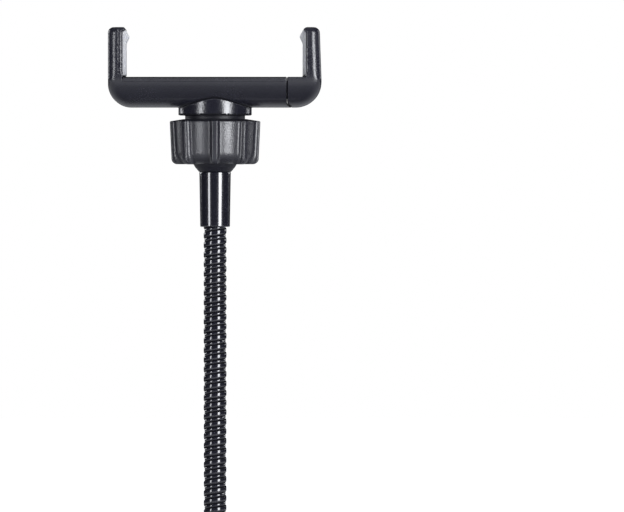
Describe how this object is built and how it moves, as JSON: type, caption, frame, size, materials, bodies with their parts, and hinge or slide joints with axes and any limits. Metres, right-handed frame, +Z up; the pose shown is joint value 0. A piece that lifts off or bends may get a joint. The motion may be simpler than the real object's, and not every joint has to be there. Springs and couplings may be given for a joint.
{
  "type": "phone clamp on a flexible neck",
  "caption": "Spring-closed phone clamp with soft pads on a ball joint with a ribbed locking nut, carried by a coiled flexible metal neck with a plain lower end.",
  "frame": {"origin": "the middle of the lower sleeve's bottom face, where a base takes hold of the neck", "axes": "+Z runs up the straight neck to the clamp, +X points to the sliding jaw, -Y is the front"},
  "size_m": [0.0746, 0.034, 0.2231],
  "materials": {
    "clamp_plastic": "fine-grained satin black moulding",
    "nut_plastic": "satin black moulding with a fine speckled grain",
    "ball_plastic": "smooth matte black",
    "pad_rubber": "soft pale grey, slightly see-through rubber",
    "sleeve_gloss": "gloss black",
    "neck_paint": "gloss black painted steel coil",
    "steel": "bright plated steel"
  },
  "bodies": {
    "neck_foot": {"lower_sleeve": "sleeve_gloss", "neck_stretch_1": "neck_paint"},
    "neck_link_2": {"neck_stretch_2": "neck_paint"},
    "neck_link_3": {"neck_stretch_3": "neck_paint"},
    "neck_link_4": {"neck_stretch_4": "neck_paint"},
    "neck_top": {"neck_stretch_5": "neck_paint", "upper_sleeve": "sleeve_gloss"},
    "ball": {"ball_stud": "ball_plastic"},
    "nut": {"locking_nut": "nut_plastic"},
    "clamp": {"clamp_body": "clamp_plastic", "bed_cover": "clamp_plastic", "cover_screws": "steel", "fixed_jaw_pad": "pad_rubber", "front_spring": "steel", "rear_spring": "steel", "housing_spring_pins": "steel", "stop_pin": "steel"},
    "jaw": {"sliding_jaw": "clamp_plastic", "sliding_jaw_pad": "pad_rubber", "jaw_spring_pins": "steel"}
  },
  "joints": [
    {"name": "neck_bend_1", "type": "hinge", "parent": "neck_foot", "child": "neck_link_2", "pos_m": [0, 0, 0.0461], "axis": [0, 1, 0], "range_deg": [-30, 30], "deforming": ["neck_stretch_1", "neck_stretch_2"]},
    {"name": "neck_bend_2", "type": "hinge", "parent": "neck_link_2", "child": "neck_link_3", "pos_m": [0, 0, 0.0729], "axis": [1, 0, 0], "range_deg": [-30, 30], "deforming": ["neck_stretch_2", "neck_stretch_3"]},
    {"name": "neck_bend_3", "type": "hinge", "parent": "neck_link_3", "child": "neck_link_4", "pos_m": [0, 0, 0.0997], "axis": [0, 1, 0], "range_deg": [-30, 30], "deforming": ["neck_stretch_3", "neck_stretch_4"]},
    {"name": "neck_bend_4", "type": "hinge", "parent": "neck_link_4", "child": "neck_top", "pos_m": [0, 0, 0.1265], "axis": [1, 0, 0], "range_deg": [-30, 30], "deforming": ["neck_stretch_4", "neck_stretch_5"]},
    {"name": "ball_swivel", "type": "hinge", "parent": "neck_top", "child": "ball", "pos_m": [0, 0, 0.1791], "axis": [0, 0, 1], "continuous": true},
    {"name": "head_tilt", "type": "hinge", "parent": "ball", "child": "nut", "pos_m": [0, 0, 0.1791], "axis": [1, 0, 0], "range_deg": [-21, 21]},
    {"name": "head_turn", "type": "hinge", "parent": "nut", "child": "clamp", "pos_m": [0, 0, 0.1791], "axis": [0, 0, 1], "continuous": true},
    {"name": "jaw_slide", "type": "slide", "parent": "clamp", "child": "jaw", "axis": [1, 0, 0], "range_m": [0, 0.028], "stiffness_N_per_m": 240, "springref_m": -0.03, "deforming": ["front_spring", "rear_spring"]}
  ]
}
